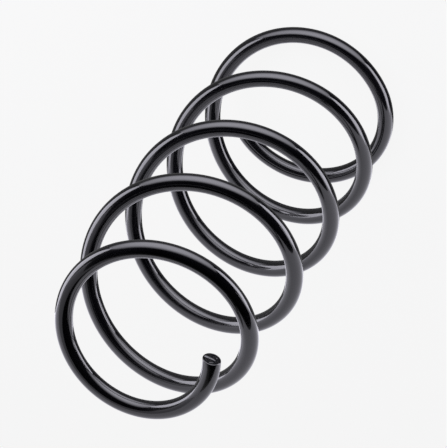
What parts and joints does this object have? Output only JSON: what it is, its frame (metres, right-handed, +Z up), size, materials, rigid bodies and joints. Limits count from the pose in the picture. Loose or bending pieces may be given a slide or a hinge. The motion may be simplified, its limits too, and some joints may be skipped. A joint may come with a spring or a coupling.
{
  "type": "coil spring",
  "caption": "Strut coil spring wound from round steel bar, with a flat closed lower end, a pigtail upper end that narrows, and a glossy black powder coat.",
  "frame": {"origin": "on the coil's axis, in the plane that the closed lower end coil stands on", "axes": "+Z up the coil's axis, towards the pigtail end. The lower cut end is on +X, and from there the wire climbs anticlockwise as seen from above"},
  "size_m": [0.1522, 0.1522, 0.3677],
  "materials": {
    "powder_coat": "glossy black powder coat over spring steel"
  },
  "bodies": {
    "lower_end_coil": {"lower_end_coil": "powder_coat"},
    "active_coil_1_a": {"active_coil_1_a": "powder_coat"},
    "active_coil_1_b": {"active_coil_1_b": "powder_coat"},
    "active_coil_1_c": {"active_coil_1_c": "powder_coat"},
    "active_coil_1_d": {"active_coil_1_d": "powder_coat"},
    "active_coil_1_e": {"active_coil_1_e": "powder_coat"},
    "active_coil_1_f": {"active_coil_1_f": "powder_coat"},
    "active_coil_1_g": {"active_coil_1_g": "powder_coat"},
    "active_coil_1_h": {"active_coil_1_h": "powder_coat"},
    "active_coil_1_i": {"active_coil_1_i": "powder_coat"},
    "active_coil_1_j": {"active_coil_1_j": "powder_coat"},
    "active_coil_2_a": {"active_coil_2_a": "powder_coat"},
    "active_coil_2_b": {"active_coil_2_b": "powder_coat"},
    "active_coil_2_c": {"active_coil_2_c": "powder_coat"},
    "active_coil_2_d": {"active_coil_2_d": "powder_coat"},
    "active_coil_2_e": {"active_coil_2_e": "powder_coat"},
    "active_coil_2_f": {"active_coil_2_f": "powder_coat"},
    "active_coil_2_g": {"active_coil_2_g": "powder_coat"},
    "active_coil_2_h": {"active_coil_2_h": "powder_coat"},
    "active_coil_2_i": {"active_coil_2_i": "powder_coat"},
    "active_coil_2_j": {"active_coil_2_j": "powder_coat"},
    "active_coil_3_a": {"active_coil_3_a": "powder_coat"},
    "active_coil_3_b": {"active_coil_3_b": "powder_coat"},
    "active_coil_3_c": {"active_coil_3_c": "powder_coat"},
    "active_coil_3_d": {"active_coil_3_d": "powder_coat"},
    "active_coil_3_e": {"active_coil_3_e": "powder_coat"},
    "active_coil_3_f": {"active_coil_3_f": "powder_coat"},
    "active_coil_3_g": {"active_coil_3_g": "powder_coat"},
    "active_coil_3_h": {"active_coil_3_h": "powder_coat"},
    "active_coil_3_i": {"active_coil_3_i": "powder_coat"},
    "active_coil_3_j": {"active_coil_3_j": "powder_coat"},
    "active_coil_4_a": {"active_coil_4_a": "powder_coat"},
    "active_coil_4_b": {"active_coil_4_b": "powder_coat"},
    "active_coil_4_c": {"active_coil_4_c": "powder_coat"},
    "active_coil_4_d": {"active_coil_4_d": "powder_coat"},
    "active_coil_4_e": {"active_coil_4_e": "powder_coat"},
    "active_coil_4_f": {"active_coil_4_f": "powder_coat"},
    "active_coil_4_g": {"active_coil_4_g": "powder_coat"},
    "active_coil_4_h": {"active_coil_4_h": "powder_coat"},
    "active_coil_4_i": {"active_coil_4_i": "powder_coat"},
    "active_coil_4_j": {"active_coil_4_j": "powder_coat"},
    "active_coil_5_a": {"active_coil_5_a": "powder_coat"},
    "active_coil_5_b": {"active_coil_5_b": "powder_coat"},
    "active_coil_5_c": {"active_coil_5_c": "powder_coat"},
    "active_coil_5_d": {"active_coil_5_d": "powder_coat"},
    "active_coil_5_e": {"active_coil_5_e": "powder_coat"},
    "upper_end_coil": {"upper_end_coil": "powder_coat"}
  },
  "joints": [
    {"name": "compression", "type": "slide", "parent": "lower_end_coil", "child": "upper_end_coil", "axis": [0, 0, 1], "range_m": [-0.23, 0], "stiffness_N_per_m": 21000},
    {"name": "active_coil_1_a_travel", "type": "slide", "parent": "lower_end_coil", "child": "active_coil_1_a", "axis": [0, 0, 1], "range_m": [-0.000438, 0]},
    {"name": "active_coil_1_b_travel", "type": "slide", "parent": "lower_end_coil", "child": "active_coil_1_b", "axis": [0, 0, 1], "range_m": [-0.00336, 0]},
    {"name": "active_coil_1_c_travel", "type": "slide", "parent": "lower_end_coil", "child": "active_coil_1_c", "axis": [0, 0, 1], "range_m": [-0.00849, 0]},
    {"name": "active_coil_1_d_travel", "type": "slide", "parent": "lower_end_coil", "child": "active_coil_1_d", "axis": [0, 0, 1], "range_m": [-0.01415, 0]},
    {"name": "active_coil_1_e_travel", "type": "slide", "parent": "lower_end_coil", "child": "active_coil_1_e", "axis": [0, 0, 1], "range_m": [-0.01978, 0]},
    {"name": "active_coil_1_f_travel", "type": "slide", "parent": "lower_end_coil", "child": "active_coil_1_f", "axis": [0, 0, 1], "range_m": [-0.02544, 0]},
    {"name": "active_coil_1_g_travel", "type": "slide", "parent": "lower_end_coil", "child": "active_coil_1_g", "axis": [0, 0, 1], "range_m": [-0.0311, 0]},
    {"name": "active_coil_1_h_travel", "type": "slide", "parent": "lower_end_coil", "child": "active_coil_1_h", "axis": [0, 0, 1], "range_m": [-0.03676, 0]},
    {"name": "active_coil_1_i_travel", "type": "slide", "parent": "lower_end_coil", "child": "active_coil_1_i", "axis": [0, 0, 1], "range_m": [-0.04241, 0]},
    {"name": "active_coil_1_j_travel", "type": "slide", "parent": "lower_end_coil", "child": "active_coil_1_j", "axis": [0, 0, 1], "range_m": [-0.04807, 0]},
    {"name": "active_coil_2_a_travel", "type": "slide", "parent": "lower_end_coil", "child": "active_coil_2_a", "axis": [0, 0, 1], "range_m": [-0.05371, 0]},
    {"name": "active_coil_2_b_travel", "type": "slide", "parent": "lower_end_coil", "child": "active_coil_2_b", "axis": [0, 0, 1], "range_m": [-0.05936, 0]},
    {"name": "active_coil_2_c_travel", "type": "slide", "parent": "lower_end_coil", "child": "active_coil_2_c", "axis": [0, 0, 1], "range_m": [-0.06502, 0]},
    {"name": "active_coil_2_d_travel", "type": "slide", "parent": "lower_end_coil", "child": "active_coil_2_d", "axis": [0, 0, 1], "range_m": [-0.07068, 0]},
    {"name": "active_coil_2_e_travel", "type": "slide", "parent": "lower_end_coil", "child": "active_coil_2_e", "axis": [0, 0, 1], "range_m": [-0.07634, 0]},
    {"name": "active_coil_2_f_travel", "type": "slide", "parent": "lower_end_coil", "child": "active_coil_2_f", "axis": [0, 0, 1], "range_m": [-0.082, 0]},
    {"name": "active_coil_2_g_travel", "type": "slide", "parent": "lower_end_coil", "child": "active_coil_2_g", "axis": [0, 0, 1], "range_m": [-0.08763, 0]},
    {"name": "active_coil_2_h_travel", "type": "slide", "parent": "lower_end_coil", "child": "active_coil_2_h", "axis": [0, 0, 1], "range_m": [-0.09329, 0]},
    {"name": "active_coil_2_i_travel", "type": "slide", "parent": "lower_end_coil", "child": "active_coil_2_i", "axis": [0, 0, 1], "range_m": [-0.09895, 0]},
    {"name": "active_coil_2_j_travel", "type": "slide", "parent": "lower_end_coil", "child": "active_coil_2_j", "axis": [0, 0, 1], "range_m": [-0.10461, 0]},
    {"name": "active_coil_3_a_travel", "type": "slide", "parent": "lower_end_coil", "child": "active_coil_3_a", "axis": [0, 0, 1], "range_m": [-0.11026, 0]},
    {"name": "active_coil_3_b_travel", "type": "slide", "parent": "lower_end_coil", "child": "active_coil_3_b", "axis": [0, 0, 1], "range_m": [-0.11592, 0]},
    {"name": "active_coil_3_c_travel", "type": "slide", "parent": "lower_end_coil", "child": "active_coil_3_c", "axis": [0, 0, 1], "range_m": [-0.12156, 0]},
    {"name": "active_coil_3_d_travel", "type": "slide", "parent": "lower_end_coil", "child": "active_coil_3_d", "axis": [0, 0, 1], "range_m": [-0.12721, 0]},
    {"name": "active_coil_3_e_travel", "type": "slide", "parent": "lower_end_coil", "child": "active_coil_3_e", "axis": [0, 0, 1], "range_m": [-0.13287, 0]},
    {"name": "active_coil_3_f_travel", "type": "slide", "parent": "lower_end_coil", "child": "active_coil_3_f", "axis": [0, 0, 1], "range_m": [-0.13853, 0]},
    {"name": "active_coil_3_g_travel", "type": "slide", "parent": "lower_end_coil", "child": "active_coil_3_g", "axis": [0, 0, 1], "range_m": [-0.14419, 0]},
    {"name": "active_coil_3_h_travel", "type": "slide", "parent": "lower_end_coil", "child": "active_coil_3_h", "axis": [0, 0, 1], "range_m": [-0.14985, 0]},
    {"name": "active_coil_3_i_travel", "type": "slide", "parent": "lower_end_coil", "child": "active_coil_3_i", "axis": [0, 0, 1], "range_m": [-0.15548, 0]},
    {"name": "active_coil_3_j_travel", "type": "slide", "parent": "lower_end_coil", "child": "active_coil_3_j", "axis": [0, 0, 1], "range_m": [-0.16114, 0]},
    {"name": "active_coil_4_a_travel", "type": "slide", "parent": "lower_end_coil", "child": "active_coil_4_a", "axis": [0, 0, 1], "range_m": [-0.1668, 0]},
    {"name": "active_coil_4_b_travel", "type": "slide", "parent": "lower_end_coil", "child": "active_coil_4_b", "axis": [0, 0, 1], "range_m": [-0.17246, 0]},
    {"name": "active_coil_4_c_travel", "type": "slide", "parent": "lower_end_coil", "child": "active_coil_4_c", "axis": [0, 0, 1], "range_m": [-0.17811, 0]},
    {"name": "active_coil_4_d_travel", "type": "slide", "parent": "lower_end_coil", "child": "active_coil_4_d", "axis": [0, 0, 1], "range_m": [-0.18377, 0]},
    {"name": "active_coil_4_e_travel", "type": "slide", "parent": "lower_end_coil", "child": "active_coil_4_e", "axis": [0, 0, 1], "range_m": [-0.18941, 0]},
    {"name": "active_coil_4_f_travel", "type": "slide", "parent": "lower_end_coil", "child": "active_coil_4_f", "axis": [0, 0, 1], "range_m": [-0.19506, 0]},
    {"name": "active_coil_4_g_travel", "type": "slide", "parent": "lower_end_coil", "child": "active_coil_4_g", "axis": [0, 0, 1], "range_m": [-0.20072, 0]},
    {"name": "active_coil_4_h_travel", "type": "slide", "parent": "lower_end_coil", "child": "active_coil_4_h", "axis": [0, 0, 1], "range_m": [-0.20627, 0]},
    {"name": "active_coil_4_i_travel", "type": "slide", "parent": "lower_end_coil", "child": "active_coil_4_i", "axis": [0, 0, 1], "range_m": [-0.21149, 0]},
    {"name": "active_coil_4_j_travel", "type": "slide", "parent": "lower_end_coil", "child": "active_coil_4_j", "axis": [0, 0, 1], "range_m": [-0.21623, 0]},
    {"name": "active_coil_5_a_travel", "type": "slide", "parent": "lower_end_coil", "child": "active_coil_5_a", "axis": [0, 0, 1], "range_m": [-0.22034, 0]},
    {"name": "active_coil_5_b_travel", "type": "slide", "parent": "lower_end_coil", "child": "active_coil_5_b", "axis": [0, 0, 1], "range_m": [-0.22372, 0]},
    {"name": "active_coil_5_c_travel", "type": "slide", "parent": "lower_end_coil", "child": "active_coil_5_c", "axis": [0, 0, 1], "range_m": [-0.22637, 0]},
    {"name": "active_coil_5_d_travel", "type": "slide", "parent": "lower_end_coil", "child": "active_coil_5_d", "axis": [0, 0, 1], "range_m": [-0.22823, 0]},
    {"name": "active_coil_5_e_travel", "type": "slide", "parent": "lower_end_coil", "child": "active_coil_5_e", "axis": [0, 0, 1], "range_m": [-0.2294, 0]}
  ],
  "couplings": [
    {"joint": "active_coil_1_a_travel", "follows": "compression", "ratio": 0.0019},
    {"joint": "active_coil_1_b_travel", "follows": "compression", "ratio": 0.0146},
    {"joint": "active_coil_1_c_travel", "follows": "compression", "ratio": 0.0369},
    {"joint": "active_coil_1_d_travel", "follows": "compression", "ratio": 0.0615},
    {"joint": "active_coil_1_e_travel", "follows": "compression", "ratio": 0.086},
    {"joint": "active_coil_1_f_travel", "follows": "compression", "ratio": 0.1106},
    {"joint": "active_coil_1_g_travel", "follows": "compression", "ratio": 0.1352},
    {"joint": "active_coil_1_h_travel", "follows": "compression", "ratio": 0.1598},
    {"joint": "active_coil_1_i_travel", "follows": "compression", "ratio": 0.1844},
    {"joint": "active_coil_1_j_travel", "follows": "compression", "ratio": 0.209},
    {"joint": "active_coil_2_a_travel", "follows": "compression", "ratio": 0.2335},
    {"joint": "active_coil_2_b_travel", "follows": "compression", "ratio": 0.2581},
    {"joint": "active_coil_2_c_travel", "follows": "compression", "ratio": 0.2827},
    {"joint": "active_coil_2_d_travel", "follows": "compression", "ratio": 0.3073},
    {"joint": "active_coil_2_e_travel", "follows": "compression", "ratio": 0.3319},
    {"joint": "active_coil_2_f_travel", "follows": "compression", "ratio": 0.3565},
    {"joint": "active_coil_2_g_travel", "follows": "compression", "ratio": 0.381},
    {"joint": "active_coil_2_h_travel", "follows": "compression", "ratio": 0.4056},
    {"joint": "active_coil_2_i_travel", "follows": "compression", "ratio": 0.4302},
    {"joint": "active_coil_2_j_travel", "follows": "compression", "ratio": 0.4548},
    {"joint": "active_coil_3_a_travel", "follows": "compression", "ratio": 0.4794},
    {"joint": "active_coil_3_b_travel", "follows": "compression", "ratio": 0.504},
    {"joint": "active_coil_3_c_travel", "follows": "compression", "ratio": 0.5285},
    {"joint": "active_coil_3_d_travel", "follows": "compression", "ratio": 0.5531},
    {"joint": "active_coil_3_e_travel", "follows": "compression", "ratio": 0.5777},
    {"joint": "active_coil_3_f_travel", "follows": "compression", "ratio": 0.6023},
    {"joint": "active_coil_3_g_travel", "follows": "compression", "ratio": 0.6269},
    {"joint": "active_coil_3_h_travel", "follows": "compression", "ratio": 0.6515},
    {"joint": "active_coil_3_i_travel", "follows": "compression", "ratio": 0.676},
    {"joint": "active_coil_3_j_travel", "follows": "compression", "ratio": 0.7006},
    {"joint": "active_coil_4_a_travel", "follows": "compression", "ratio": 0.7252},
    {"joint": "active_coil_4_b_travel", "follows": "compression", "ratio": 0.7498},
    {"joint": "active_coil_4_c_travel", "follows": "compression", "ratio": 0.7744},
    {"joint": "active_coil_4_d_travel", "follows": "compression", "ratio": 0.799},
    {"joint": "active_coil_4_e_travel", "follows": "compression", "ratio": 0.8235},
    {"joint": "active_coil_4_f_travel", "follows": "compression", "ratio": 0.8481},
    {"joint": "active_coil_4_g_travel", "follows": "compression", "ratio": 0.8727},
    {"joint": "active_coil_4_h_travel", "follows": "compression", "ratio": 0.8968},
    {"joint": "active_coil_4_i_travel", "follows": "compression", "ratio": 0.9195},
    {"joint": "active_coil_4_j_travel", "follows": "compression", "ratio": 0.9401},
    {"joint": "active_coil_5_a_travel", "follows": "compression", "ratio": 0.958},
    {"joint": "active_coil_5_b_travel", "follows": "compression", "ratio": 0.9727},
    {"joint": "active_coil_5_c_travel", "follows": "compression", "ratio": 0.9842},
    {"joint": "active_coil_5_d_travel", "follows": "compression", "ratio": 0.9923},
    {"joint": "active_coil_5_e_travel", "follows": "compression", "ratio": 0.9974}
  ]
}
